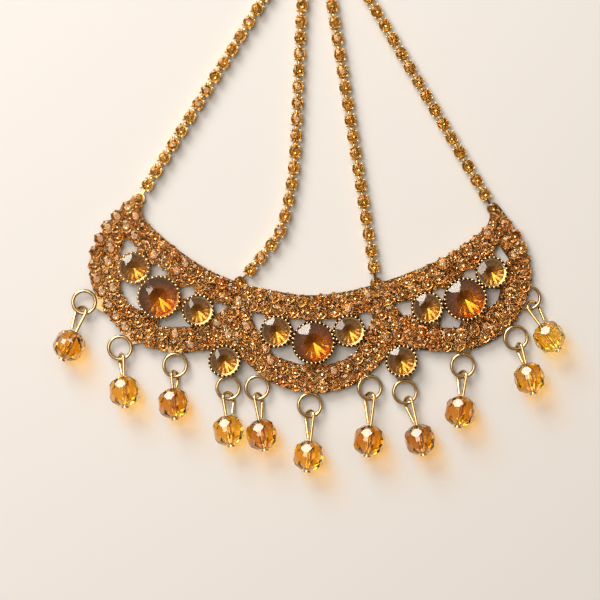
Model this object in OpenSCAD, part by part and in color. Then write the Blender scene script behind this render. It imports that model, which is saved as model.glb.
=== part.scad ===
// Jhoomar: a side-worn hair jewel lying flat, its openwork plate in the XY plane.
// Stone-set chains run up (+Y) to a hair hook and eleven bead drops hang down (-Y).
// Millimetres, +Z out of the face, z = 0 on the surface that it lies on.

/* [Plate] */
// Thickness of the openwork back plate
plate_t = 0.9; // [0.6:0.1:1.2]
// Outer diameter of one pave cup
cup_d = 2.24; // [2:0.02:2.4]
// Height of a pave cup's rim above the lying surface
cup_h = 1.7; // [1.5:0.1:2]
// Distance from one pave cup to the next along a row
row_pitch = 2.58; // [2.45:0.01:2.8]

/* [Main stones] */
// Diameter of the three large stones
large_d = 7.1; // [6.6:0.1:7.4]
// Diameter of the eight smaller stones
small_d = 5; // [4.6:0.1:5.2]
// Height of a large bezel without its teeth
large_h = 2.6; // [2.3:0.1:3]
// Height of a smaller bezel without its teeth
small_h = 2.2; // [2:0.1:2.6]
// Wall of a bezel around its stone
bezel_wall = 0.5; // [0.4:0.05:0.6]
// Height of the milled teeth on a bezel
tooth_h = 0.4; // [0.3:0.05:0.5]

/* [Drops] */
// Outer diameter of a drop's ring
ring_d = 5; // [4.8:0.1:5.2]
// Wire of the rings
ring_wire = 0.7; // [0.6:0.05:0.75]
// Wire of the head pins
pin_wire = 0.64; // [0.55:0.01:0.66]
// Distance that a pin's loop passes over and under the wire of its ring
loop_rise = 0.82; // [0.8:0.01:0.85]
// Diameter of a glass bead
bead_d = 6; // [5.6:0.1:6.2]
// Length of a glass bead along its hole
bead_len = 5.5; // [5:0.1:5.8]

/* [Chains] */
// Distance from one chain cup to the next
link_pitch = 3.1; // [3:0.05:3.4]
// Outer diameter of a chain cup
link_d = 2.24; // [2.2:0.02:2.4]
// Diameter of a chain stone
link_stone_d = 1.72; // [1.6:0.02:1.74]

/* [Hook] */
// Wire of the hair hook
hook_wire = 0.9; // [0.8:0.1:1]
// Bend of the hair hook, to the middle of its wire
hook_bend = 2.9; // [2.8:0.1:3.2]
// Length of the hook's open leg
hook_leg = 7.5; // [6:0.5:9]

/* [Hidden] */
// Fineness of round walls
$fn = 32;
// Gap between a stone and its metal
fit = 0.08;
// Overlap of shapes that are soldered into one
lap = 0.1;

// Edge of the plate, read through as a smooth closed curve: x, y
top_edge = [
    [-31.2, 14.4], [-25.8, 9.7], [-19.8, 5.7], [-12.9, 3], [-4.8, 1.3], [0, 0.9],
    [4.8, 1.4], [9.7, 2.4], [16.4, 4.5], [22.6, 7], [27.6, 9.7], [31.7, 12.8], [33.3, 14.5]
];
right_tip = [[33.7, 16.4], [34.2, 18.2], [35.3, 17.9], [36.6, 16.2]];
right_edge = [
    [39.9, 11], [41.4, 5.3], [40.4, -0.4], [37, -5.7], [31.4, -9.1], [25.6, -9.9], [20.3, -9.5]
];
middle_edge = [
    [16.8, -10], [13.7, -11.2], [8.6, -15.8], [0, -17.8], [-8.2, -15.5], [-13.9, -10.8], [-17.3, -9.9]
];
left_edge = [
    [-20.5, -9.6], [-26, -10], [-31.7, -8.7], [-37.4, -4.9], [-41.6, 1.5], [-42.5, 6], [-41.4, 10.6],
    [-38, 16]
];
left_tip = [[-35.4, 18.4], [-33.6, 20.2], [-32.1, 19.2], [-32.6, 16.8]];

// Pierced openings of the plate, corner by corner: x, y
pierced = [
    [[-36, 11.6], [-34.7, 11.4], [-33.2, 9.7], [-34, 8.6], [-36.8, 8.4]],
    [[-31.3, 6.4], [-29.4, 7], [-27.7, 6], [-27.6, 4.9], [-29.5, 3.6], [-31.4, 4]],
    [[-36.9, 3.7], [-33.2, 3.6], [-31.5, 0], [-32.6, -2], [-33.9, -1.5], [-36, 0.3]],
    [[-25.2, 2.4], [-23.2, 2.8], [-22.3, 1.5], [-23.6, 0], [-25.6, 0.5]],
    [[-29.7, -5.2], [-29, -3], [-25.6, -1.9], [-24.1, -2.6], [-22.8, -5.1]],
    [[-19.8, -0.4], [-17.1, -0.4], [-16.3, -1.4], [-17.9, -2.5], [-19.6, -2.8]],
    [[-12.2, -2], [-8.9, -2.9], [-9.5, -6], [-10.7, -5.7]],
    [[-4.6, -3.6], [-1.5, -3.7], [-1.9, -5.5], [-3.6, -5.9]],
    [[1.3, -3.6], [4.4, -3.7], [4.4, -5.5], [2.6, -5.9]],
    [[8.7, -2.4], [11.1, -2.3], [11.3, -3.4], [10.4, -5.7], [8.9, -5]],
    [[-8.6, -9.2], [-3.2, -8.4], [-1.3, -12.5], [-4, -11.8], [-7.2, -10.7]],
    [[3.4, -8.4], [8.6, -9], [7.8, -10.3], [5.5, -11.6], [1.7, -12.5]],
    [[34.9, 10.2], [35.7, 10.1], [37.4, 7.6], [36.1, 6.8], [34, 8]],
    [[28.1, 4.7], [29.4, 5.8], [31.9, 6.2], [31.7, 3.6], [29, 3]],
    [[32.1, 2.5], [35.7, 2], [35.2, 0], [33.6, -1.5], [31.7, -0.8]],
    [[22.4, 1.5], [23.5, 2.3], [25.6, 2.1], [25.8, 0.2], [23.7, -0.2]],
    [[24.7, -1.7], [26.4, -2.3], [28.3, -4], [27.7, -5.3], [24.1, -5.3]],
    [[15.4, -0.8], [16.9, -0.3], [19.6, -0.2], [19.6, -2.7], [17.1, -2.9]]
];
// Rounding of the openings' corners
pierced_round = 0.3;

// Rows of pave cups, each along a smooth curve: x, y
rows = [
    [[-35.2, 17.6], [-39, 14], [-41.2, 9.4], [-41.3, 4.7], [-39.1, -0.4], [-35.9, -5], [-31.3, -7.8],
     [-25.8, -8.7], [-20.6, -8.3]],
    [[-33.6, 15.7], [-37.2, 12], [-38.9, 7.2], [-37.9, 2], [-34.9, -2.2], [-31.2, -5.5], [-26, -6.5],
     [-21, -6]],
    [[-32, 13.6], [-28.3, 10.1], [-24.1, 6.8], [-19.3, 4.2], [-14.1, 2.1], [-7.6, 0.6], [0, -0.3],
     [7.6, 0.4], [14.2, 2.2], [20.2, 4.7], [25.9, 7.7], [30, 10.4], [33.1, 12.8]],
    [[-33.9, 12.1], [-30.4, 8.6], [-26.1, 5.6], [-21, 2.6], [-15.6, 0], [-8, -1.6], [0, -2.5],
     [8, -1.4], [15.8, 0.7], [22, 3.2], [28.2, 6.5], [32.8, 9.8]],
    [[34.9, 15.9], [38.4, 12.2], [40.3, 6.5], [39.5, 0.8], [36, -4.3], [31.4, -7.5], [25.8, -8.7],
     [20.3, -8.2]],
    [[35.1, 12.8], [37.7, 9.4], [38.3, 4.6], [36.8, 0], [33.4, -4.2], [28.7, -6.3], [24, -6.5],
     [20.6, -5.9]],
    [[-11.9, -10.9], [-8.4, -13.9], [-3.8, -16], [1.3, -16.5], [6.3, -15.3], [10.4, -12.6], [12.4, -10.3]],
    [[-11.8, -8.3], [-8.2, -11.6], [-3.4, -13.6], [1.7, -14], [6.6, -12.4], [10.2, -9.1], [11, -6.9]]
];
// Single pave cups that fill the plate between the rows: x, y
fill_cups = [
    [-15.2, -2.2], [-12.9, -2.7], [-18.2, -4.4], [-15.1, -4.5], [-12.6, -5.1], [-18.4, -6.5], [-16.1, -6.7],
    [-13.8, -7], [-11.4, -6.6], [-13.3, -9.1], [14.9, -2.2], [12.8, -2.7], [17.2, -4.3], [15.1, -4.5],
    [12.9, -5], [18.3, -6.4], [16.1, -6.7], [13.8, -7], [13.2, -9.1]
];
// Least distance between two pave cups
cup_least = 2.05;

// Main stones: x, y, diameter, bezel height
mains = [
    [-29.2, 0.5, large_d, large_h], [0.1, -8.1, large_d, large_h], [28.9, 0.1, large_d, large_h],
    [-34, 6.1, small_d, small_h], [-21.8, -2, small_d, small_h], [-7, -6, small_d, small_h],
    [6.9, -5.9, small_d, small_h], [21.7, -1.5, small_d, small_h], [33.9, 5.2, small_d, small_h],
    [-16.8, -11.6, small_d, small_h], [16.8, -11.6, small_d, small_h]
];

// Drops: ring x, ring y, bead x, bead y, turn of the pin's loop, direction of the ring's solder web,
// and the arc of the ring that is buried in the plate
drops = [
    [-43.5, -0.4, -46.2, -8.6, 50, 0, 0], [-36.7, -9.1, -35.7, -17.3, 30, 42, 0],
    [-26.2, -12.4, -26.4, -19.6, -36, 90, 0], [-16.1, -16.7, -16, -24.7, -50, 98, 0],
    [-10.6, -16.7, -9.7, -25.5, -40, 60, 0], [-0.6, -20, -0.8, -29.5, 42, 90, 0],
    [10.8, -16.7, 10.6, -26.6, 46, 122, 0], [17.5, -17.5, 20.3, -26.4, 40, 95, 0],
    [28.5, -12.5, 27.9, -21.1, 42, 92, 0], [38.6, -7.2, 41, -14.8, 30, 138, 0],
    [41, 0.4, 44.7, -7, -52, 158, 130]
];

// Chains from the collector down to the plate, each along a smooth curve: x, y
chains = [
    [[-2.6, 68.2], [-33.1, 19.3]],
    [[-0.5, 68.2], [-2.1, 55.7], [-2.8, 41.8], [-3.7, 25.1], [-6, 13.8], [-9.3, 8.9], [-13.9, 3.4]],
    [[1.8, 68.2], [3.6, 56], [8, 28.4], [12, 3.2]],
    [[4.1, 68.2], [11.8, 55.3], [34.2, 17.4]]
];
link_wall = 0.16;
link_h = 1.5;
prong_h = 0.35;
prong_w = 0.34;
prong_t = 0.14;
prongs = 4;
chamber_r = 0.85;
chamber_z = 0.25;
chamber_h = 0.6;
throat_r = 0.65;
slot_w = 0.9;
slot_z = 0.32;
slot_h = 0.46;
tongue_w = 0.4;
tongue_z = 0.42;
tongue_t = 0.25;
tongue_head_w = 1.06;
tongue_head_l = 0.35;
tongue_reach = 0.15;
link_seat_z = 1.2;
link_stone_rise = 0.24;

ring_z = 1.2;
ring_r = (ring_d - ring_wire) / 2;
web_z = 0.5;
web_over = 0.1;
web_near = 2.2;
web_far = 3.8;
web_len = 1.5;

loop_turn = 200;
tail_gap = 0.78;
tail_clear = 0.7;
wire_lap = 0.05;
wire_step = 0.02;
head_d = 1.5;
head_t = 0.35;
bead_hole = 0.9;
bead_sides = 12;
bead_gap = 0.1;

cup_seat_z = 1.25;
cup_wall = 0.16;
ledge = 0.3;
rim_over_seat = 0.25;
stone_rise = 0.28;
tooth_inset = 0.04;
large_teeth = 36;
small_teeth = 28;

collector_x = 0.8;
collector_y = 68.2;
collector_w = 9.6;
collector_l = 2.4;
collector_h = 1.5;
collector_ring_y = 72.2;
hook_y = 87.5;
hook_loop_rise = 0.93;
hook_turn = 45;
hook_lift = 0.4;
collector_ring_z = 1.45;

main_count = len(mains);
drop_count = len(drops);
chain_count = len(chains);

// Cubic curve from b to c that heads from a and on to d
function blend(a, b, c, d, t) =
    (2 * b + (c - a) * t + (2 * a - 5 * b + 4 * c - d) * t * t + (3 * b - a - 3 * c + d) * t * t * t) / 2;

// Smooth closed curve through the points p, in n steps from each to the next
function closed_curve(p, n) = let (m = len(p)) [
    for (i = [0:m - 1], s = [0:n - 1])
        blend(p[(i + m - 1) % m], p[i], p[(i + 1) % m], p[(i + 2) % m], s / n)
];

// Smooth open curve through the points p, in n steps from each to the next
function open_curve(p, n) = let (m = len(p), q = concat([2 * p[0] - p[1]], p, [2 * p[m - 1] - p[m - 2]])) [
    for (i = [0:m - 2], s = [0:n - 1]) blend(q[i], q[i + 1], q[i + 2], q[i + 3], s / n),
    p[m - 1]
];

// Length along the points p up to each of them
function run(p) = [
    for (i = 0, s = 0; i < len(p); s = s + (i + 1 < len(p) ? norm(p[i + 1] - p[i]) : 0), i = i + 1) s
];

// Evenly spaced points along the points p, as near the pitch as fits, both ends included
function spaced(p, pitch) = let (
    r = run(p),
    total = r[len(r) - 1],
    n = round(total / pitch),
    xs = [for (i = [0:len(p) - 1]) [r[i], p[i].x]],
    ys = [for (i = [0:len(p) - 1]) [r[i], p[i].y]]
) [for (k = [0:n]) [lookup(k * total / n, xs), lookup(k * total / n, ys)]];

function heading(a, b) = atan2(b.y - a.y, b.x - a.x);

// Direction of a chain where it passes point i, halfway between the links that meet there
function link_turn(p, i) = heading(p[i - 1], p[i + 1]);

// The points p without those that come nearer than least to one before them
function thinned(p, least) = [
    for (i = [0:len(p) - 1])
        if (i == 0 || min([for (j = [0:i - 1]) norm(p[i] - p[j])]) > least) p[i]
];

cups = thinned(concat([for (row = rows) each spaced(open_curve(row, 6), row_pitch)], fill_cups), cup_least);
outline = concat(top_edge, right_tip, right_edge, middle_edge, left_edge, left_tip);
chain_points = [for (c = chains) spaced(open_curve(c, 8), link_pitch)];

// Stack of rings of n corners, every second one turned by half a corner: radius, z
module facet_stack(rings, n) {
    m = len(rings);
    points = [
        for (k = [0:m - 1], i = [0:n - 1])
            let (a = (i + (k % 2) / 2) * 360 / n)
            [rings[k][0] * cos(a), rings[k][0] * sin(a), rings[k][1]]
    ];
    sides = [
        for (k = [0:m - 2], i = [0:n - 1])
            let (j = (i + 1) % n, a = k * n, b = a + n)
            each (k % 2 == 0
                ? [[a + i, b + i, a + j], [b + i, b + j, a + j]]
                : [[a + i, b + j, a + j], [a + i, b + i, b + j]])
    ];
    polyhedron(
        points,
        concat([[for (i = [0:n - 1]) i]], sides, [[for (i = [n - 1:-1:0]) (m - 1) * n + i]])
    );
}

// Cut stone with its girdle on z = 0: a table, a faceted crown and a pointed back
module cut_stone(d, n) {
    r = d / 2;
    facet_stack([
        [r * 0.1, -r * 0.46], [r, -r * 0.02], [r, r * 0.04], [r * 0.78, r * 0.24], [r * 0.55, r * 0.34]
    ], n);
}

// Small stone with its girdle on z = 0, cut with one row of facets on each side
module chaton(d, n) {
    r = d / 2;
    facet_stack([[r * 0.15, -r * 0.45], [r, 0], [r * 0.6, r * 0.38]], n);
}

module pierced_plate() {
    linear_extrude(plate_t)
        difference() {
            polygon(closed_curve(outline, 3));
            for (hole = pierced)
                offset(r = pierced_round, $fn = 12)
                    offset(delta = -pierced_round)
                        polygon(hole);
        }
}

module pave_cup_walls() {
    for (c = cups)
        translate([c.x, c.y, 0])
            cylinder(d = cup_d, h = cup_h);
}

module pave_cup_seats() {
    for (c = cups)
        translate([c.x, c.y, cup_seat_z])
            cylinder(d = cup_d - 2 * cup_wall, h = cup_h);
}

// Teeth of a milled bezel, standing around its rim
module bezel_teeth(d, h, n) {
    outer = d / 2 + fit + bezel_wall;
    inner = d / 2 + fit;
    width = PI * outer / n;
    translate([0, 0, h - lap])
        linear_extrude(tooth_h + lap)
            intersection() {
                difference() {
                    circle(r = outer - tooth_inset);
                    circle(r = inner + tooth_inset);
                }
                for (i = [0:n - 1])
                    rotate(i * 360 / n)
                        translate([0, -width / 2])
                            square([outer, width]);
            }
}

module bezel_walls() {
    for (m = mains)
        translate([m[0], m[1], 0])
            cylinder(r = m[2] / 2 + fit + bezel_wall, h = m[3], $fn = 64);
}

module bezel_seats() {
    for (m = mains) {
        translate([m[0], m[1], seat_z(m)])
            cylinder(r = m[2] / 2 + fit, h = m[3], $fn = 64);
        translate([m[0], m[1], plate_t])
            cylinder(r = m[2] / 2 + fit - ledge, h = m[3], $fn = 64);
    }
}

function seat_z(m) = m[3] - rim_over_seat;

// Ring that lies flat at height z, soldered by a web in the direction turn, where an arc of it is buried
module soldered_ring(x, y, z, turn, buried) {
    translate([x, y, z])
        rotate(turn + buried / 2)
            rotate_extrude(angle = 360 - buried)
                translate([ring_r, 0])
                    circle(d = ring_wire, $fn = 16);
    translate([x, y, web_z])
        rotate(turn)
            linear_extrude(z + web_over - web_z)
                polygon([
                    [ring_r, -web_near / 2], [ring_r + web_len, -web_far / 2],
                    [ring_r + web_len, web_far / 2], [ring_r, web_near / 2]
                ]);
}

// Cup of a chain, hollow under its seat so that the next link's head is held in it
module link_cup_wall() {
    cylinder(d = link_d, h = link_h);
    for (i = [0:prongs - 1])
        rotate(45 + i * 360 / prongs)
            translate([link_d / 2 - link_wall, -prong_w / 2, link_h - lap])
                cube([prong_t, prong_w, prong_h + lap]);
}

module link_cup_hollow() {
    translate([0, 0, chamber_z])
        cylinder(r = chamber_r, h = chamber_h);
    translate([0, 0, chamber_z])
        cylinder(r = throat_r, h = link_h);
    translate([0, 0, link_seat_z])
        cylinder(d = link_d - 2 * link_wall, h = link_h);
    translate([-link_d, -slot_w / 2, slot_z])
        cube([link_d, slot_w, slot_h]);
}

// Tongue from one cup into the hollow of the next, a distance of length away
module tongue(length) {
    start = link_d / 2 - link_wall;
    tip = length - tongue_reach;
    translate([start, -tongue_w / 2, tongue_z])
        cube([tip - lap - start, tongue_w, tongue_t]);
    translate([tip - tongue_head_l, -tongue_head_w / 2, tongue_z])
        cube([tongue_head_l, tongue_head_w, tongue_t]);
}

module chain(p) {
    color("goldenrod")
        for (i = [1:len(p) - 2])
            translate([p[i].x, p[i].y, 0])
                difference() {
                    union() {
                        rotate(link_turn(p, i))
                            link_cup_wall();
                        rotate(heading(p[i], p[i + 1]))
                            tongue(norm(p[i + 1] - p[i]));
                    }
                    rotate(link_turn(p, i))
                        link_cup_hollow();
                }
}

module chain_stones(p) {
    color("burlywood")
        for (i = [1:len(p) - 2])
            translate([p[i].x, p[i].y, link_seat_z + link_stone_rise])
                rotate(link_turn(p, i))
                    chaton(link_stone_d, 8);
}

module anchor_walls() {
    for (p = chain_points)
        translate([p[len(p) - 1].x, p[len(p) - 1].y, 0])
            cylinder(d = link_d, h = cup_h);
}

module anchor_hollows() {
    for (p = chain_points)
        let (n = len(p) - 1)
            translate([p[n].x, p[n].y, 0])
                rotate(heading(p[n - 1], p[n]))
                    link_cup_hollow();
}

module frame() {
    color("goldenrod")
        difference() {
            union() {
                pierced_plate();
                pave_cup_walls();
                bezel_walls();
                for (m = mains)
                    translate([m[0], m[1], 0])
                        bezel_teeth(m[2], m[3], m[2] == large_d ? large_teeth : small_teeth);
                for (d = drops)
                    soldered_ring(d[0], d[1], ring_z, d[5], d[6]);
                anchor_walls();
            }
            pave_cup_seats();
            bezel_seats();
            anchor_hollows();
        }
}

module main_stone(m) {
    color(m[2] == large_d ? "darkorange" : "khaki")
        translate([m[0], m[1], seat_z(m) + stone_rise])
            cut_stone(m[2], 12);
}

// Radius of a wire loop that is turned about its stem and still passes over a ring by rise
function loop_radius(rise, turn) = rise / cos(turn);

// Length of a loop's tail until it has come back to its stem
function tail_len(r) = let (back = loop_turn - 180) (r * (1 + cos(back)) - tail_gap) / sin(back);

// Way from a wire's start to the nearest point of the ring that its loop goes around: points as x, y, z
function ring_reach(ring, start) =
    let (flat = [start.x - ring.x, start.y - ring.y], hold = ring_r * flat / norm(flat))
    [ring.x + hold.x - start.x, ring.y + hold.y - start.y, ring.z - start.z];

// Length of a wire's stem from its start to its loop of radius r
function stem_len(ring, start, r) = let (way = norm(ring_reach(ring, start))) sqrt(way * way - r * r);

// Moves its children, drawn along +X from the start of a wire, so that the loop at its end,
// of radius r and turned about the stem, has the ring's nearest point in its middle
module along_wire(ring, start, turn, r) {
    reach = ring_reach(ring, start);
    way = norm(reach);
    translate(start)
        rotate([turn, -asin(reach.z / way), atan2(reach.y, reach.x)])
            rotate([0, -asin(r / way), 0])
                children();
}

function drop_ring(d) = [d[0], d[1], ring_z];

function drop_bead(d) = [d[2], d[3], bead_d / 2];

function drop_loop(d) = loop_radius(loop_rise, d[4]);

// Straight wire of length l along +X, run a little way into the bends at its ends
module straight_wire(l, wire) {
    translate([-wire_lap, 0, 0])
        rotate([0, 90, 0])
            cylinder(d = wire, h = l + 2 * wire_lap, $fn = 16);
}

// Bend of radius r about Z through an angle, a little thinner than the wire's straight runs
module wire_bend(r, angle, wire) {
    rotate_extrude(angle = angle)
        translate([r, 0])
            circle(d = wire - wire_step, $fn = 16);
}

// Loop of wire at the end of a stem of length l, turned back under it, with its tail
module wire_loop(l, r, wire, tail) {
    translate([l, 0, -r]) {
        rotate([90, loop_turn - 90, 0])
            wire_bend(r, loop_turn, wire);
        rotate([0, loop_turn - 90, 0])
            translate([r, 0, 0])
                rotate([0, 90, 0])
                    straight_wire(tail, wire);
    }
}

module head_pin(d) {
    r = drop_loop(d);
    l = stem_len(drop_ring(d), drop_bead(d), r);
    foot = bead_len / 2 + bead_gap + head_t;
    color("gold")
        along_wire(drop_ring(d), drop_bead(d), d[4], r) {
            translate([-foot, 0, 0])
                rotate([0, 90, 0])
                    cylinder(d = head_d, h = head_t, $fn = 24);
            translate([wire_lap - foot, 0, 0])
                straight_wire(foot + l - wire_lap, pin_wire);
            wire_loop(l, r, pin_wire, min(tail_len(r), l - bead_len / 2 - tail_clear));
        }
}

module bead(d) {
    r = bead_d / 2;
    end = bead_len / 2;
    color("orange")
        along_wire(drop_ring(d), drop_bead(d), d[4], drop_loop(d))
            rotate([0, 90, 0])
                rotate_extrude($fn = bead_sides)
                    polygon([
                        [bead_hole / 2, -end], [r * 0.5, -end], [r * 0.86, -end * 0.55], [r, 0],
                        [r * 0.86, end * 0.55], [r * 0.5, end], [bead_hole / 2, end]
                    ]);
}

// End piece that holds the four chains and, by its ring, the hair hook
module collector() {
    color("goldenrod") {
        translate([collector_x - collector_w / 2, collector_y - collector_l / 2, 0])
            cube([collector_w, collector_l, collector_h]);
        soldered_ring(collector_x, collector_ring_y, collector_ring_z, -90, 0);
        for (p = chain_points)
            translate([p[0].x, p[0].y, 0])
                rotate(heading(p[0], p[1]))
                    tongue(norm(p[1] - p[0]));
    }
}

// Plain wire hook: a loop on the collector's ring, a straight stem, a bend and an open leg
module hair_hook() {
    ring = [collector_x, collector_ring_y, collector_ring_z];
    bend = [collector_x, hook_y, hook_wire / 2 + hook_lift];
    r = loop_radius(hook_loop_rise, hook_turn);
    l = stem_len(ring, bend, r);
    color("gold")
        along_wire(ring, bend, hook_turn, r) {
            straight_wire(l, hook_wire);
            wire_loop(l, r, hook_wire, tail_len(r));
            rotate([-hook_turn, 0, 0])
                translate([0, hook_bend, 0]) {
                    rotate(90)
                        wire_bend(hook_bend, 180, hook_wire);
                    translate([0, hook_bend, 0])
                        straight_wire(hook_leg, hook_wire);
                }
        }
}

frame();
collector();
hair_hook();
for (i = [1:main_count])
    main_stone(mains[i - 1]);
for (i = [1:drop_count]) {
    bead(drops[i - 1]);
    head_pin(drops[i - 1]);
}
for (i = [1:chain_count]) {
    chain(chain_points[i - 1]);
    chain_stones(chain_points[i - 1]);
}
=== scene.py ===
"""Looks of a jhoomar: a pierced gold-tone plate of cut stones, with four stone-set chains and glass drops.

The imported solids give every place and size. The metal keeps its solids. The stones and beads are cut anew
on the places of theirs, and the plate's cups get their stones, prongs and milled grains.
"""

import math

import bpy
import numpy as np
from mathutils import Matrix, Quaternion, Vector
from mathutils.bvhtree import BVHTree
from mathutils.kdtree import KDTree

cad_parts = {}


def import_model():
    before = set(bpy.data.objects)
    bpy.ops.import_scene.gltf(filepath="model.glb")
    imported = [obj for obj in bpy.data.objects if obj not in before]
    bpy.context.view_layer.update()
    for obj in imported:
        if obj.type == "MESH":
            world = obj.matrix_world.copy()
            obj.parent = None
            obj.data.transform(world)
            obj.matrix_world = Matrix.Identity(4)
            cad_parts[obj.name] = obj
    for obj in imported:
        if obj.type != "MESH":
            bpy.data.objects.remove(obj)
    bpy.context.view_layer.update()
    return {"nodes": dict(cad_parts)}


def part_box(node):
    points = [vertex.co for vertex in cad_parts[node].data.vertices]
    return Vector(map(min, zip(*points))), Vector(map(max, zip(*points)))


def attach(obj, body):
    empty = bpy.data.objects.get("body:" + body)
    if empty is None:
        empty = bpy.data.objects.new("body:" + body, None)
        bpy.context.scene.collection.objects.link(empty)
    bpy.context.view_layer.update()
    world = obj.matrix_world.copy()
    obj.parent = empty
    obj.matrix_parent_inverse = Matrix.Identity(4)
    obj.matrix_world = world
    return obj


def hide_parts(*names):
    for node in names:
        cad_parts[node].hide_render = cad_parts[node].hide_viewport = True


MM = 0.001

# Heights of the solids above the surface that the jewel lies on: the bare plate, the seats of the plate's
# cups and those of the chains' cups. Two heights this close are one.
PLATE_TOP = 0.9 * MM
CUP_SEAT = 1.25 * MM
LINK_SEAT = 1.2 * MM
LEVEL = 0.01 * MM

# A disc of the frame at a seat's height is a cup's seat from this width
CUP_WIDTH = 1.5 * MM

# Small stones of the plate's and the chains' cups: radius and height of the girdle
CUP_STONE = 1.2 * MM
CUP_GIRDLE = 1.82 * MM
LINK_STONE = 1.1 * MM
LINK_GIRDLE = 1.7 * MM

# Main stones: height of the girdle, and how far the edge reaches over the bezel's wall
LARGE_STONES = 3
LARGE_GIRDLE = 3.05 * MM
SMALL_GIRDLE = 2.65 * MM
OVER_WALL = 0.27 * MM

# Cuts, in shares of a stone's radius. The waist and the floor are rings on the back, by radius and height.
LARGE_CUT = dict(n=8, table=0.5, crown=0.24, waist=(0.93, -0.29), pleat=0.04, floor=(0.43, -0.382), depth=0.5)
MIDDLE_CUT = LARGE_CUT | dict(table=0.52, waist=(0.97, -0.3))
SMALL_CUT = dict(n=8, table=0.54, crown=0.24, waist=(0.7, -0.26), pleat=0.1, floor=(0.32, -0.37), depth=0.46)

# Turn of each main stone in degrees: a kite and a flat of its back then face the window. The stones of these
# numbers have a flatter crown, by this share, which mirrors the window only faintly.
SPINS = (-12, -11, -4, -14, -14, -15, -10, -15, -8, -13, -11)
FLAT_CROWNS = (1, 5, 7, 9, 10)
FLATTER = 0.68

# How far stones are tipped at random, as a slope. Left of the even end the pavé stones are set evenly, so
# that their tables mirror the softbox as pale discs.
MAIN_TIP = 0.01
PAVE_TIP = 0.14
EVEN_TIP = 0.04
EVEN_END = -34 * MM
CHAIN_TIP = 0.08
FILLER_TIP = 0.12

# Milled beads of a bezel: number round a large and a smaller stone, and place outside and above its girdle
LARGE_CLAWS = 30
SMALL_CLAWS = 22
CLAW_SIZE = 0.25 * MM
CLAW_OUT = 0.09 * MM
CLAW_UP = 0.04 * MM

# Grids of places on the bare plate: the rows are this share of a step apart
ROW_SHARE = 0.87

# Filler stones there: step of their grid, least and most room, how far they reach past it, and the height of
# the girdle over the plate as a share of the room
FILLER_STEP = 0.25 * MM
FILLER_LEAST = 0.4 * MM
FILLER_MOST = 0.85 * MM
FILLER_OVER = 0.08 * MM
FILLER_RISE = 0.75

# Grains there: step of their grid, widest room, size, and lowest and highest place in mm
GRAIN_STEP = 0.62 * MM
GRAIN_ROOM = 0.5 * MM
GRAIN_SIZE = 0.22 * MM
GRAIN_HEIGHTS = (1.0, 1.5)

# Prongs round a cup of the plate: number, and their size and place
PRONGS = 7
PRONG_SIZE = 0.2 * MM
PRONG_OUT = 1.23 * MM
PRONG_HEIGHT = 1.8 * MM

# Chains: bars between two links, and posts round a link at these turns from its way
BAR_SIZE = 0.6 * MM
BAR_HEIGHT = 0.75 * MM
POST_TURNS = (40, 140, 220, 320)
POST_SIZE = 0.29 * MM
POST_OUT = 1.25 * MM
POST_HEIGHT = 1.35 * MM

# Beads: hexagons of a row, and in mm the radius of the hole, the distance of a hexagon's plane from the
# hole's line at the middle, and how far the plane leans in for each mm along that line
BEAD_SIDES = 8
BEAD_HOLE = 0.45
BEAD_FLAT = 2.98
BEAD_LEAN = 0.3

# Tint of each bead, from brown to pale yellow, and the most that it is turned away from the lamp, in degrees
BEAD_TINTS = (0.5, 0.75, 0.5, 0.75, 0.4, 0.7, 0.45, 0.25, 0.5, 0.7, 0.95)
BEAD_SWAY = 3

# Finishes: clouds in the gold and the foil and fine polish marks, in waves to a metre
GOLD_CLOUDS = 900.0
FOIL_CLOUDS = 700.0
POLISH = 4500.0

# Camera: straight above the plate and framed as the photograph is. Its scale holds at the focus height.
PHOTO_SCALE = 0.19 * MM
PHOTO_SIDE = 600
PHOTO_CENTRE = (-2.47 * MM, 0.0)
CAMERA_HEIGHT = 0.48
FOCUS_HEIGHT = 1.5 * MM

# Window over the table: its way in degrees, its distance, and the side from which the room is lit
WINDOW_AZIMUTH = 123
WINDOW_HEIGHT = 36
WINDOW_DISTANCE = 0.8
ROOM_SIDE = (-0.57, 0.82, 0.0)

# Softbox overhead, to the left and above the plate's middle, turned to face its left end
SOFTBOX = (-0.2, 0.115, 0.6)
SOFTBOX_TURN = -20.6

# Half of the floor's side
FLOOR_REACH = 6.0

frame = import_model()
rng = np.random.default_rng(12)


# Reading the solids


def corners_and_triangles(node):
    """The node's corners, merged where they coincide, and its triangles as rows of three corner numbers."""
    mesh = frame["nodes"][node].data
    mesh.calc_loop_triangles()
    co = np.empty(len(mesh.vertices) * 3)
    mesh.vertices.foreach_get("co", co)
    tri = np.empty(len(mesh.loop_triangles) * 3, int)
    mesh.loop_triangles.foreach_get("vertices", tri)
    points, number = np.unique(co.reshape(-1, 3).round(7), axis=0, return_inverse=True)
    return points, number.reshape(-1)[tri].reshape(-1, 3)


def groups(count, tri):
    """A label for each corner: the lowest corner number spreads over the triangles until nothing changes."""
    label = np.arange(count)
    while True:
        low = label[tri].min(axis=1)
        new = label.copy()
        np.minimum.at(new, tri.ravel(), np.repeat(low, 3))
        new = new[new]
        if (new == label).all():
            return label
        label = new


def boxes(points, tri):
    """The lowest and highest corner of each group of triangles that hang together."""
    label = groups(len(points), tri)
    used = np.unique(tri)
    found = np.unique(label[used])
    slot = np.searchsorted(found, label[used])
    low = np.full((len(found), 3), np.inf)
    high = -low
    np.minimum.at(low, slot, points[used])
    np.maximum.at(high, slot, points[used])
    return low, high


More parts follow.
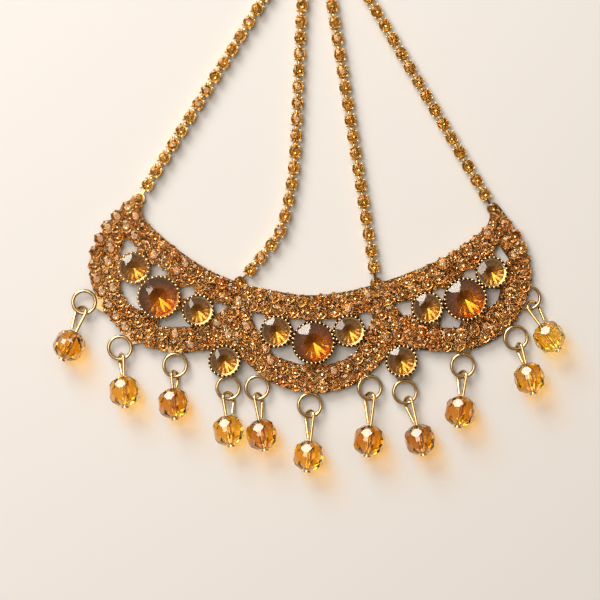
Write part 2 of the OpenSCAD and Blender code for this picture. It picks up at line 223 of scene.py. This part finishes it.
def cup_places(seat):
    """The middle of each cup of the frame with its seat at this height: the wide discs of triangles there."""
    points, tri = corners_and_triangles("frame")
    flat = (np.abs(points[tri][:, :, 2] - seat) < LEVEL).all(axis=1)
    low, high = boxes(points, tri[flat])
    wide = (high - low)[:, :2].max(axis=1)
    middle = (low + high) / 2
    return middle[wide > CUP_WIDTH]


def solid_places(node):
    """The middle of each loose solid of a node."""
    low, high = boxes(*corners_and_triangles(node))
    return (low + high) / 2


# Making pieces


def piece(name, points, faces, materials, which=None, smooth=False, tints=None):
    """A mesh of these corners and faces that rides on the jewel; which gives each face's material."""
    mesh = bpy.data.meshes.new(name)
    mesh.from_pydata(np.asarray(points).tolist(), [], np.asarray(faces).tolist())
    for m in materials:
        mesh.materials.append(m)
    if which is not None:
        mesh.polygons.foreach_set("material_index", np.asarray(which, np.int32))
    mesh.polygons.foreach_set("use_smooth", np.full(len(mesh.polygons), smooth))
    if tints is not None:
        layer = mesh.attributes.new("tint", "FLOAT", "FACE")
        layer.data.foreach_set("value", np.asarray(tints, np.float32))
    mesh.update()
    obj = bpy.data.objects.new(name, mesh)
    bpy.context.scene.collection.objects.link(obj)
    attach(obj, "root")
    return obj


def ring(n, radius, z, turn=0.0):
    """n corners on a circle of that radius at height z, the first one turned by a share of a step."""
    a = (np.arange(n) + turn) * 2 * np.pi / n
    return np.stack([radius * np.cos(a), radius * np.sin(a), np.full(n, z)], axis=1)


def after(corners):
    """Each corner's next neighbour round its ring."""
    return np.roll(corners, -1)


def before(corners):
    """Each corner's last neighbour round its ring."""
    return np.roll(corners, 1)


def fan(middle, outer):
    """Triangles from one corner to the sides of a closed ring; they face up where the ring turns left."""
    return np.stack([np.full(len(outer), middle), outer, after(outer)], axis=1)


def cut_stone(n, table, crown, waist, pleat, floor, depth):
    """A round cut stone of radius 1, its girdle at z = 0: corners, triangles, and 1 for each one of the back.

    The front has a table, n star facets, n kites and 2n girdle facets. A kite is flat: its side corners lie
    on the plane through its table corner and its girdle corner. The back falls steeply from the girdle to the
    waist, a ring of this radius and height, then gently in 2n pleats to the floor, another ring. From there
    it falls to a point of this depth in n flat facets, one under each kite.
    """
    kite = 0.5 * (1 + table) + 0.03
    kite_z = crown * (1 - kite * math.cos(math.pi / n)) / (1 - table)
    top, side, girdle, under, low, base = np.split(np.arange(12 * n), np.array([1, 2, 4, 6, 10]) * n)
    points = np.concatenate([
        ring(n, table, crown),
        ring(n, kite, kite_z, 0.5),
        ring(2 * n, 1, 0.03),
        ring(2 * n, 1, -0.03),
        ring(4 * n, *waist),
        ring(2 * n, *floor),
        [[0, 0, crown], [0, 0, -depth]],
    ])
    valley = low[0::2]
    ridge = low[1::2]
    points[ridge, 2] += pleat
    points[base[0::2], :2] *= math.cos(math.pi / n)
    apex = len(points) - 2
    culet = apex + 1
    even = girdle[0::2]
    odd = girdle[1::2]
    front = np.concatenate([
        fan(apex, top),
        np.stack([top, side, after(top)], 1),
        np.stack([top, before(side), even], 1),
        np.stack([top, even, side], 1),
        np.stack([side, even, odd], 1),
        np.stack([side, odd, after(even)], 1),
        np.stack([girdle, under, after(under)], 1),
        np.stack([girdle, after(under), after(girdle)], 1),
    ])
    back = np.concatenate([
        np.stack([valley, under, before(ridge)], 1),
        np.stack([valley, ridge, under], 1),
        np.stack([ridge, after(under), under], 1),
        np.stack([base, ridge, valley], 1),
        np.stack([base, after(base), ridge], 1),
        np.stack([after(base), after(valley), ridge], 1),
        fan(culet, base)[:, ::-1],
    ])
    return points, np.concatenate([front, back]), np.repeat([0, 1], [len(front), len(back)])


def copies(points, faces, places, sizes, turns, tips):
    """One mesh of a shape repeated: scaled by its size, spun by its turn, tipped by two slopes and moved."""
    c = np.cos(turns)[:, None]
    s = np.sin(turns)[:, None]
    spun = np.stack([
        points[None, :, 0] * c - points[None, :, 1] * s,
        points[None, :, 0] * s + points[None, :, 1] * c,
        np.repeat(points[None, :, 2], len(places), 0),
    ], axis=2) * sizes[:, None, None]
    spun[:, :, 2] += tips[:, 0:1] * spun[:, :, 0] + tips[:, 1:2] * spun[:, :, 1]
    spun += places[:, None, :]
    shift = np.arange(len(places)) * len(points)
    return spun.reshape(-1, 3), (faces[None] + shift[:, None, None]).reshape(-1, faces.shape[1])


# Materials


def shader(name, **values):
    """A new material's shader and node tree, with the given sockets set."""
    m = bpy.data.materials.new(name)
    m.use_nodes = True
    b = m.node_tree.nodes["Principled BSDF"]
    for key, value in values.items():
        b.inputs[key.replace("_", " ")].default_value = value
    return m, b, m.node_tree


def node(tree, kind, **values):
    """A node of this kind, with its settings and its unlinked sockets set by name."""
    n = tree.nodes.new(kind)
    for key, value in values.items():
        if hasattr(n, key):
            setattr(n, key, value)
        else:
            n.inputs[key.replace("_", " ")].default_value = value
    return n


def ramp(tree, fac, stops):
    """A colour ramp through (place, colour) stops, fed by a socket."""
    r = tree.nodes.new("ShaderNodeValToRGB")
    marks = r.color_ramp.elements
    for mark, (place, colour) in zip(marks, (stops[0], stops[-1])):
        mark.position = place
        mark.color = (*colour, 1)
    for place, colour in stops[1:-1]:
        marks.new(place).color = (*colour, 1)
    tree.links.new(fac, r.inputs["Fac"])
    return r.outputs["Color"]


def gold(name, light, dark, rough, painted_shade=None):
    """Polished gold-tone plating: two shades and a fine grain of polish marks in noise on Object coordinates.

    With a painted shade colour, the metal is painted that dark as shade low in the plate and on the bezels'
    tops between their beads, and less dark as painted contact shade on the rings' lower flanks; it is satin
    up to the top of the rings' webs. These tones go by height, in shares of 3 mm.
    """
    m, b, tree = shader(name, Metallic=1.0)
    place = node(tree, "ShaderNodeTexCoord").outputs["Object"]
    cloud = node(tree, "ShaderNodeTexNoise", Scale=GOLD_CLOUDS, Detail=3.0)
    fine = node(tree, "ShaderNodeTexNoise", Scale=POLISH, Detail=2.0)
    tree.links.new(place, cloud.inputs["Vector"])
    tree.links.new(place, fine.inputs["Vector"])
    colour = ramp(tree, cloud.outputs["Fac"], [(0.3, dark), (0.65, light)])
    if painted_shade:
        height = node(tree, "ShaderNodeSeparateXYZ")
        tree.links.new(place, height.inputs["Vector"])
        share = node(tree, "ShaderNodeMapRange", From_Max=3 * MM)
        tree.links.new(height.outputs["Z"], share.inputs["Value"])
        bright = (1, 1, 1)
        # Painted shade by height: dark on the low plate, less dark on the rings' flanks, full colour above,
        # dark again on the bezels' tops
        painted_shade_tones = [(0.3, painted_shade), (0.4, (0.6, 0.5, 0.42)), (0.5, bright), (0.66, bright), (0.72, painted_shade)]
        mix = node(tree, "ShaderNodeMix", data_type="RGBA", blend_type="MULTIPLY")
        mix.inputs["Factor"].default_value = 1.0
        tree.links.new(colour, mix.inputs[6])
        tree.links.new(ramp(tree, share.outputs["Result"], painted_shade_tones), mix.inputs[7])
        colour = mix.outputs[2]
    tree.links.new(colour, b.inputs["Base Color"])
    rough_map = node(tree, "ShaderNodeMapRange", To_Min=rough * 0.7, To_Max=rough * 1.4)
    tree.links.new(fine.outputs["Fac"], rough_map.inputs["Value"])
    roughness = rough_map.outputs["Result"]
    if painted_shade:
        satin = node(tree, "ShaderNodeMapRange", From_Min=0.44, From_Max=0.5, To_Min=0.16, To_Max=0.0)
        tree.links.new(share.outputs["Result"], satin.inputs["Value"])
        total = node(tree, "ShaderNodeMath", operation="ADD")
        tree.links.new(roughness, total.inputs[0])
        tree.links.new(satin.outputs["Result"], total.inputs[1])
        roughness = total.outputs["Value"]
    tree.links.new(roughness, b.inputs["Roughness"])
    bump = node(tree, "ShaderNodeBump", Strength=0.12, Distance=0.05 * MM)
    tree.links.new(fine.outputs["Fac"], bump.inputs["Height"])
    tree.links.new(bump.outputs["Normal"], b.inputs["Normal"])
    return m


def shaded_by_tint(tree, stops):
    """The stone's own tint, a number that each of its faces holds, read as a colour."""
    tint = node(tree, "ShaderNodeAttribute", attribute_name="tint")
    return ramp(tree, tint.outputs["Fac"], stops)


def clear_stone(name, colour=None, shades=None, ior=1.58, coat=None, lamp_tint=None):
    """Cut glass with polished facets, of one colour or of shades by each stone's tint.

    It is under a clear coat of this index or has a champagne gloss of its own. With a lamp tint, lamps shine
    through it in that colour.
    """
    m, b, tree = shader(name, Roughness=0.03, IOR=ior, Transmission_Weight=1.0)
    if shades:
        tree.links.new(shaded_by_tint(tree, shades), b.inputs["Base Color"])
    else:
        b.inputs["Base Color"].default_value = (*colour, 1)
    if coat:
        b.inputs["Coat Weight"].default_value = 0.75
        b.inputs["Specular IOR Level"].default_value = 0.3
        b.inputs["Coat IOR"].default_value = coat
        b.inputs["Coat Roughness"].default_value = 0.02
    else:
        b.inputs["Specular IOR Level"].default_value = 0.75
        b.inputs["Specular Tint"].default_value = (1.0, 0.82, 0.6, 1)
    if lamp_tint:
        out = tree.nodes["Material Output"]
        seen = node(tree, "ShaderNodeLightPath").outputs["Is Shadow Ray"]
        clear = node(tree, "ShaderNodeBsdfTransparent", Color=(*lamp_tint, 1))
        mix = node(tree, "ShaderNodeMixShader")
        tree.links.new(seen, mix.inputs["Fac"])
        tree.links.new(b.outputs["BSDF"], mix.inputs[1])
        tree.links.new(clear.outputs["BSDF"], mix.inputs[2])
        tree.links.new(mix.outputs["Shader"], out.inputs["Surface"])
    return m


def foil(name, light, dark, rough):
    """Metal foil on the back of a stone, a little uneven in shade."""
    m, b, tree = shader(name, Metallic=1.0, Roughness=rough)
    place = node(tree, "ShaderNodeTexCoord").outputs["Object"]
    cloud = node(tree, "ShaderNodeTexNoise", Scale=FOIL_CLOUDS, Detail=2.0)
    tree.links.new(place, cloud.inputs["Vector"])
    tree.links.new(ramp(tree, cloud.outputs["Fac"], [(0.35, dark), (0.65, light)]), b.inputs["Base Color"])
    return m


# The plate's gold carries painted shade: darker by height low on the plate, on the rings' lower flanks and on
# the bezels' tops between the beads
plate_gold = gold("plate_gold", (0.78, 0.59, 0.33), (0.62, 0.44, 0.22), 0.1, painted_shade=(0.3, 0.21, 0.12))
wire_gold = gold("wire_gold", (0.82, 0.61, 0.31), (0.68, 0.46, 0.2), 0.12)
cup_gold = gold("cup_gold", (0.82, 0.6, 0.26), (0.62, 0.42, 0.14), 0.14)
# The grains' gold is paler than the plate's: partly the metal's own tone, partly painted highlight so that
# prongs, claws and grains read as cream glints
grain_gold = gold("grain_gold", (1.0, 0.82, 0.53), (0.88, 0.66, 0.36), 0.12)
amber_glass = clear_stone("amber_glass", (1.0, 0.7, 0.26), coat=1.5)
amber_foil = foil("amber_foil", (0.66, 0.33, 0.06), (0.5, 0.23, 0.04), 0.25)
pale_glass = clear_stone("pale_glass", (1.0, 0.87, 0.6), coat=1.5)
pale_foil = foil("pale_foil", (0.58, 0.32, 0.08), (0.46, 0.24, 0.055), 0.28)
topaz_shades = [
    (0.0, (0.78, 0.47, 0.3)),
    (0.33, (0.86, 0.66, 0.38)),
    (0.66, (0.95, 0.72, 0.5)),
    (1.0, (1.0, 0.86, 0.66)),
]
topaz_glass = clear_stone("topaz_glass", shades=topaz_shades, ior=1.6)
topaz_foil = foil("topaz_foil", (1.0, 0.8, 0.54), (0.98, 0.68, 0.4), 0.1)
chain_shades = [(0.0, (0.82, 0.64, 0.22)), (0.5, (0.92, 0.74, 0.3)), (1.0, (1.0, 0.84, 0.42))]
chain_glass = clear_stone("chain_glass", shades=chain_shades, ior=1.6)
bead_shades = [(0.0, (0.44, 0.22, 0.01)), (0.5, (0.64, 0.36, 0.01)), (1.0, (0.88, 0.64, 0.08))]
bead_glass = clear_stone("bead_glass", shades=bead_shades, ior=1.6, coat=1.6, lamp_tint=(0.95, 0.67, 0.22))


# Metal keeps its solids

for name, obj in frame["nodes"].items():
    if name.startswith(("pin_", "hair_hook")):
        finish = wire_gold
    elif name.startswith("chain_") and not name.startswith("chain_stones"):
        finish = cup_gold
    else:
        finish = plate_gold
    obj.data.materials.clear()
    obj.data.materials.append(finish)


# Main stones, with the places of their bezels' beads and the room that each takes

claws = []
seats = []
for i, spin in enumerate(SPINS, 1):
    low, high = (np.array(corner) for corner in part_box(f"stone_{i}"))
    large = i <= LARGE_STONES
    radius = (high - low)[0] / 2 + OVER_WALL
    middle = np.array([*((low + high) / 2)[:2], LARGE_GIRDLE if large else SMALL_GIRDLE])
    cut = LARGE_CUT if large else MIDDLE_CUT
    if i in FLAT_CROWNS:
        cut = cut | dict(crown=cut["crown"] * FLATTER)
    points, faces, back = cut_stone(**cut)
    tips = rng.normal(0, MAIN_TIP, (1, 2))
    co, tri = copies(points, faces, middle[None], np.array([radius]), np.radians([spin]), tips)
    looks = [amber_glass, amber_foil] if large else [pale_glass, pale_foil]
    stone = piece(f"cut_stone_{i}", co, tri, looks, which=back)
    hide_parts(f"stone_{i}")
    claws.append(ring(LARGE_CLAWS if large else SMALL_CLAWS, radius + CLAW_OUT, CLAW_UP) + middle)
    seats.append((*middle[:2], radius))


# Small stones, with one tint each

small_points, small_faces, small_back = cut_stone(**SMALL_CUT)


def small_stones(name, places, radius, tip, glass=topaz_glass):
    """Small cut stones of these radii at these places, spun and tipped at random, each of its own tint."""
    n = len(places)
    tips = rng.normal(0, 1, (n, 2)) * np.broadcast_to(tip, n)[:, None]
    radii = np.broadcast_to(radius, n)
    co, tri = copies(small_points, small_faces, places, radii, rng.uniform(0, 2, n), tips)
    tints = np.repeat(rng.uniform(0, 1, n), len(small_faces))
    which = np.tile(small_back, n)
    return piece(name, co, tri, [glass, topaz_foil], which=which, tints=tints)


cups = cup_places(CUP_SEAT)
tips = np.where(cups[:, 0] < EVEN_END, EVEN_TIP, PAVE_TIP)
small_stones("pave_stones", cups + [0, 0, CUP_GIRDLE - CUP_SEAT], CUP_STONE, tips)
ends = cup_places(LINK_SEAT)
small_stones("end_stones", ends + [0, 0, LINK_GIRDLE - LINK_SEAT], LINK_STONE, CHAIN_TIP, chain_glass)
links = []
for i in range(1, 5):
    middle = solid_places(f"chain_stones_{i}")
    middle[:, 2] = LINK_GIRDLE
    cut = small_stones(f"cut_chain_stones_{i}", middle, LINK_STONE, CHAIN_TIP, chain_glass)
    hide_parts(f"chain_stones_{i}")
    links.append(middle[np.argsort(middle[:, 1])])


# Small stones and grains on the bare plate, milled beads round the bezels, and prongs and bars of the cups


def grain(sides):
    """A small nugget of radius 1: two poles and three rings, the middle one turned half a step."""
    points = np.concatenate([
        [[0, 0, 1]],
        ring(sides, 0.75, 0.66),
        ring(sides, 1, 0, 0.5),
        ring(sides, 0.75, -0.66),
        [[0, 0, -1]],
    ])
    a, b, c = (1 + k * sides + np.arange(sides) for k in range(3))
    faces = np.concatenate([
        fan(0, a),
        np.stack([a, b, after(a)], 1),
        np.stack([b, after(b), after(a)], 1),
        np.stack([b, after(c), after(b)], 1),
        np.stack([c, after(c), b], 1),
        fan(len(points) - 1, c)[:, ::-1],
    ])
    return points, faces


def grains(name, places, size, sides=5, stretch=(1, 1, 1), turns=None, tip=0.2, smooth=False):
    """Grains at these places, stretched, turned, and each a little uneven in size and tipped at random."""
    n = len(places)
    points, faces = grain(sides)
    if turns is None:
        turns = rng.uniform(0, 6, n)
    sizes = size * rng.uniform(0.88, 1.12, n)
    co, tri = copies(points * stretch, faces, places, sizes, turns, rng.normal(0, tip, (n, 2)))
    return piece(name, co, tri, [grain_gold], smooth=smooth)


def bare_spots(pitch):
    """Points of an uneven grid on the plate's bare top, and each one's distance from the nearest that isn't.

    A point is bare where a ray from above meets the frame at the height of that face, outside the bezels.
    Each second row of the grid is shifted by half a step.
    """
    corner, tri = corners_and_triangles("frame")
    solid = BVHTree.FromPolygons(corner.tolist(), tri.tolist())
    low = corner.min(0)
    high = corner.max(0)
    x, y = np.meshgrid(np.arange(low[0], high[0], pitch), np.arange(low[1], high[1], pitch * ROW_SHARE))
    x = x + (np.arange(len(x)) % 2)[:, None] * pitch / 2
    spots = np.stack([x.ravel(), y.ravel()], 1) + rng.uniform(-0.25, 0.25, (x.size, 2)) * pitch
    met = [solid.ray_cast((*spot, 0.1), (0, 0, -1))[0] for spot in spots.tolist()]
    bare = np.array([m is not None and abs(m[2] - PLATE_TOP) < LEVEL for m in met])
    for *middle, radius in seats:
        bare &= np.linalg.norm(spots - middle, axis=1) > radius
    other = KDTree((~bare).sum())
    for k, spot in enumerate(spots[~bare].tolist()):
        other.insert((*spot, 0), k)
    other.balance()
    return spots[bare], np.array([other.find((*spot, 0))[2] for spot in spots[bare].tolist()])


def apart(spots, reach):
    """Numbers of the spots left when each one, from the widest reach down, clears those that it overlaps."""
    kept = []
    order = np.argsort(-reach)
    while len(order):
        best = order[0]
        kept.append(best)
        gap = np.linalg.norm(spots[order] - spots[best], axis=1)
        order = order[gap > reach[order] + reach[best]]
    return np.array(kept)


def round_cups(middles, turns, out, height):
    """Places round each cup's middle, at these turns, this far out and at this height."""
    around = np.stack([np.cos(turns), np.sin(turns), np.zeros(turns.shape)], 2) * out
    return (middles[:, None] * [1, 1, 0] + around + [0, 0, height]).reshape(-1, 3)


spots, room = bare_spots(FILLER_STEP)
wide = room > FILLER_LEAST
spots = spots[wide]
room = np.minimum(room[wide], FILLER_MOST)
kept = apart(spots, room)
spots = spots[kept]
room = room[kept]
fillers = np.column_stack([spots, PLATE_TOP + FILLER_RISE * room])
small_stones("filler_stones", fillers, room + FILLER_OVER, FILLER_TIP)

spots, room = bare_spots(GRAIN_STEP)
spots = spots[room < GRAIN_ROOM]
heights = rng.uniform(*GRAIN_HEIGHTS, len(spots)) * MM
grains("plate_grains", np.column_stack([spots, heights]), GRAIN_SIZE, stretch=(1, 1, 1.8))

turns = np.concatenate([np.arange(len(c)) * 2 * np.pi / len(c) for c in claws])
grains("bezel_claws", np.concatenate(claws), CLAW_SIZE, 6, (1.45, 0.95, 1.1), turns, tip=0.08, smooth=True)

turns = rng.uniform(0, 2 * np.pi, (len(cups), 1)) + np.arange(PRONGS) * 2 * np.pi / PRONGS
prongs = round_cups(cups, turns, PRONG_OUT, PRONG_HEIGHT)
grains("prongs", prongs, PRONG_SIZE, stretch=(1, 1, 1.5))

for i, row in enumerate(links, 1):
    way = np.diff(row, axis=0)
    along = np.arctan2(way[:, 1], way[:, 0])
    bars = (row[1:] + row[:-1]) / 2
    bars[:, 2] = BAR_HEIGHT
    grains(f"link_bars_{i}", bars, BAR_SIZE, 8, (0.8, 1.0, 0.95), along, tip=0.03, smooth=True)
    turns = np.append(along, along[-1])[:, None] + np.radians(POST_TURNS)
    posts = round_cups(row, turns, POST_OUT, POST_HEIGHT)
    grains(f"link_prongs_{i}", posts, POST_SIZE, 6, (1.05, 1.2, 2.0), turns.ravel(), tip=0.05, smooth=True)


# Beads, each spun so that one of its hexagons faces halfway between the window and the camera


def faceted_bead(n, hole):
    """A drilled round bead along X: two rows of n hexagons, a belt of diamonds between, and flat ends.

    A hexagon is flat: its corners lie on a plane that leans in towards the end. Between two hexagons of a row
    lie half a diamond of the belt and a kite that reaches to the end. Each row of corners has its place along
    the hole, its turns in degrees and its radius.
    """
    step = 360 / n

    def flat(x, degrees):
        return (BEAD_FLAT - BEAD_LEAN * x) / math.cos(math.radians(degrees))

    rows = [
        (0.45, (-8, 8), flat(0.45, 8)),
        (1.2, (step / 2,), flat(1.2, step / 2)),
        (1.95, (-9, 9), flat(1.95, 9)),
        (2.75, (step / 2,), 1.25),
        (2.75, (step / 2,), hole),
    ]
    half = []
    for x, turns, radius in rows:
        a = np.radians(np.arange(n)[:, None] * step + np.array(turns))
        half.append(np.stack([np.full(a.size, x), radius * np.cos(a).ravel(), radius * np.sin(a).ravel()], 1))
    upper = np.concatenate(half)
    points = np.concatenate([upper, upper * [-1, 1, 1]])
    starts = np.cumsum([0] + [len(h) for h in half])
    belt, side, top, end, bore = (np.arange(starts[k], starts[k + 1]) for k in range(5))
    left = belt[0::2]
    right = belt[1::2]
    high_left = top[0::2]
    high_right = top[1::2]
    cap = np.concatenate([
        np.stack([left, right, side], 1),
        np.stack([left, side, high_right], 1),
        np.stack([left, high_right, high_left], 1),
        np.stack([left, high_left, before(side)], 1),
        np.stack([side, after(high_left), end], 1),
        np.stack([side, end, high_right], 1),
        np.stack([high_left, high_right, end], 1),
        np.stack([high_left, end, before(end)], 1),
        np.stack([before(end), end, bore], 1),
        np.stack([before(end), bore, before(bore)], 1),
    ])
    m = len(upper)
    middle = np.concatenate([
        np.stack([left, left + m, right + m], 1),
        np.stack([left, right + m, right], 1),
        np.stack([right, after(left), side], 1),
        np.stack([right + m, side + m, after(left) + m], 1),
        np.stack([right, right + m, after(left) + m], 1),
        np.stack([right, after(left) + m, after(left)], 1),
        np.stack([before(bore), bore, bore + m], 1),
        np.stack([before(bore), bore + m, before(bore) + m], 1),
    ])
    return points * MM, np.concatenate([cap, cap[:, ::-1] + m, middle])


def from_angles(azimuth, elevation, distance):
    """A place at this azimuth and elevation, in degrees, and this distance from the plate."""
    a = math.radians(azimuth)
    e = math.radians(elevation)
    flat = distance * math.cos(e)
    return (flat * math.cos(a), flat * math.sin(a), distance * math.sin(e))


def bead_place(i):
    """Middle and three axes of a bead's solid: the first is its hole, along which the corners spread most."""
    points, _ = corners_and_triangles(f"bead_{i}")
    middle = points.mean(0)
    spread, axes = np.linalg.eigh(np.cov((points - middle).T))
    hole = axes[:, 2] * np.sign(axes[1, 2])
    side = np.cross([0, 0, 1.0], hole)
    side /= np.linalg.norm(side)
    return middle, np.stack([hole, side, np.cross(hole, side)])


HALFWAY = np.array([*from_angles(WINDOW_AZIMUTH, WINDOW_HEIGHT, 1)]) + [0, 0, 1]
points, faces = faceted_bead(BEAD_SIDES, BEAD_HOLE)
for i, tint in enumerate(BEAD_TINTS, 1):
    middle, axes = bead_place(i)
    lean = axes @ HALFWAY
    spin = math.atan2(lean[2], lean[1]) + math.radians(rng.uniform(-BEAD_SWAY, BEAD_SWAY))
    turn = np.array([[1, 0, 0], [0, math.cos(spin), math.sin(spin)], [0, -math.sin(spin), math.cos(spin)]])
    co = points @ turn @ axes + middle
    tints = np.full(len(faces), tint)
    glass = piece(f"glass_bead_{i}", co, faces, [bead_glass], tints=tints)
    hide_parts(f"bead_{i}")


# Floor, lights and camera


def floor():
    """A plain floor of cool white, which looks cream in the warm light."""
    mesh = bpy.data.meshes.new("floor")
    s = FLOOR_REACH
    mesh.from_pydata([(-s, -s, 0), (s, -s, 0), (s, s, 0), (-s, s, 0)], [], [(0, 1, 2, 3)])
    m, b, tree = shader("floor_paint", Base_Color=(0.8, 0.835, 0.905, 1), Roughness=0.6)
    mesh.materials.append(m)
    obj = bpy.data.objects.new("floor", mesh)
    bpy.context.scene.collection.objects.link(obj)


def lamp(name, place, size, radiance, colour, turn=0.0, target=(0.0, 0.0, 0.0)):
    """An area light, wide by high, that faces the target; its watts come from the brightness of its face."""
    data = bpy.data.lights.new(name, "AREA")
    data.shape = "RECTANGLE"
    data.color = colour
    data.size = size[0]
    data.size_y = size[1]
    data.energy = radiance * math.pi * data.size * data.size_y
    obj = bpy.data.objects.new(name, data)
    obj.location = place
    back = Vector(place) - Vector(target)
    obj.rotation_mode = "QUATERNION"
    obj.rotation_quaternion = back.to_track_quat("Z", "Y") @ Quaternion((0, 0, 1), turn)
    obj.visible_camera = False
    bpy.context.scene.collection.objects.link(obj)


def sky():
    """Soft light of the room by height, dim straight overhead, and by side: bright towards the window."""
    world = bpy.data.worlds.new("room")
    world.use_nodes = True
    tree = world.node_tree
    way = node(tree, "ShaderNodeTexCoord").outputs["Generated"]
    up = node(tree, "ShaderNodeSeparateXYZ")
    tree.links.new(way, up.inputs["Vector"])
    stops = [
        (0.0, (0.7, 0.66, 0.62)),
        (0.03, (0.45, 0.38, 0.31)),
        (0.35, (0.5, 0.41, 0.3)),
        (0.6, (0.94, 0.75, 0.54)),
        (0.93, (1.36, 1.1, 0.82)),
        (0.975, (0.22, 0.17, 0.12)),
        (1.0, (0.16, 0.12, 0.09)),
    ]
    side = node(tree, "ShaderNodeVectorMath", operation="DOT_PRODUCT")
    side.inputs[1].default_value = ROOM_SIDE
    tree.links.new(way, side.inputs[0])
    share = node(tree, "ShaderNodeMapRange", From_Min=-0.9, From_Max=0.9, To_Min=0.1, To_Max=0.72)
    tree.links.new(side.outputs["Value"], share.inputs["Value"])
    tree.links.new(ramp(tree, up.outputs["Z"], stops), tree.nodes["Background"].inputs["Color"])
    tree.links.new(share.outputs["Result"], tree.nodes["Background"].inputs["Strength"])
    bpy.context.scene.world = world


def camera():
    """Looks straight down, with a lens that spans the photograph's side at the focus height."""
    data = bpy.data.cameras.new("camera")
    data.lens = data.sensor_width * (CAMERA_HEIGHT - FOCUS_HEIGHT) / (PHOTO_SCALE * PHOTO_SIDE)
    obj = bpy.data.objects.new("camera", data)
    obj.location = (*PHOTO_CENTRE, CAMERA_HEIGHT)
    bpy.context.scene.collection.objects.link(obj)
    bpy.context.scene.camera = obj


floor()
sky()
window = from_angles(WINDOW_AZIMUTH, WINDOW_HEIGHT, WINDOW_DISTANCE)
lamp("window", window, (0.47, 0.38), radiance=9.0, colour=(1.0, 0.92, 0.8))
below = (*SOFTBOX[:2], 0.0)
turn = math.radians(SOFTBOX_TURN)
lamp("softbox", SOFTBOX, (0.3, 0.3), radiance=5.0, colour=(1.0, 0.89, 0.78), turn=turn, target=below)
camera()
bpy.context.scene.view_settings.view_transform = "Standard"
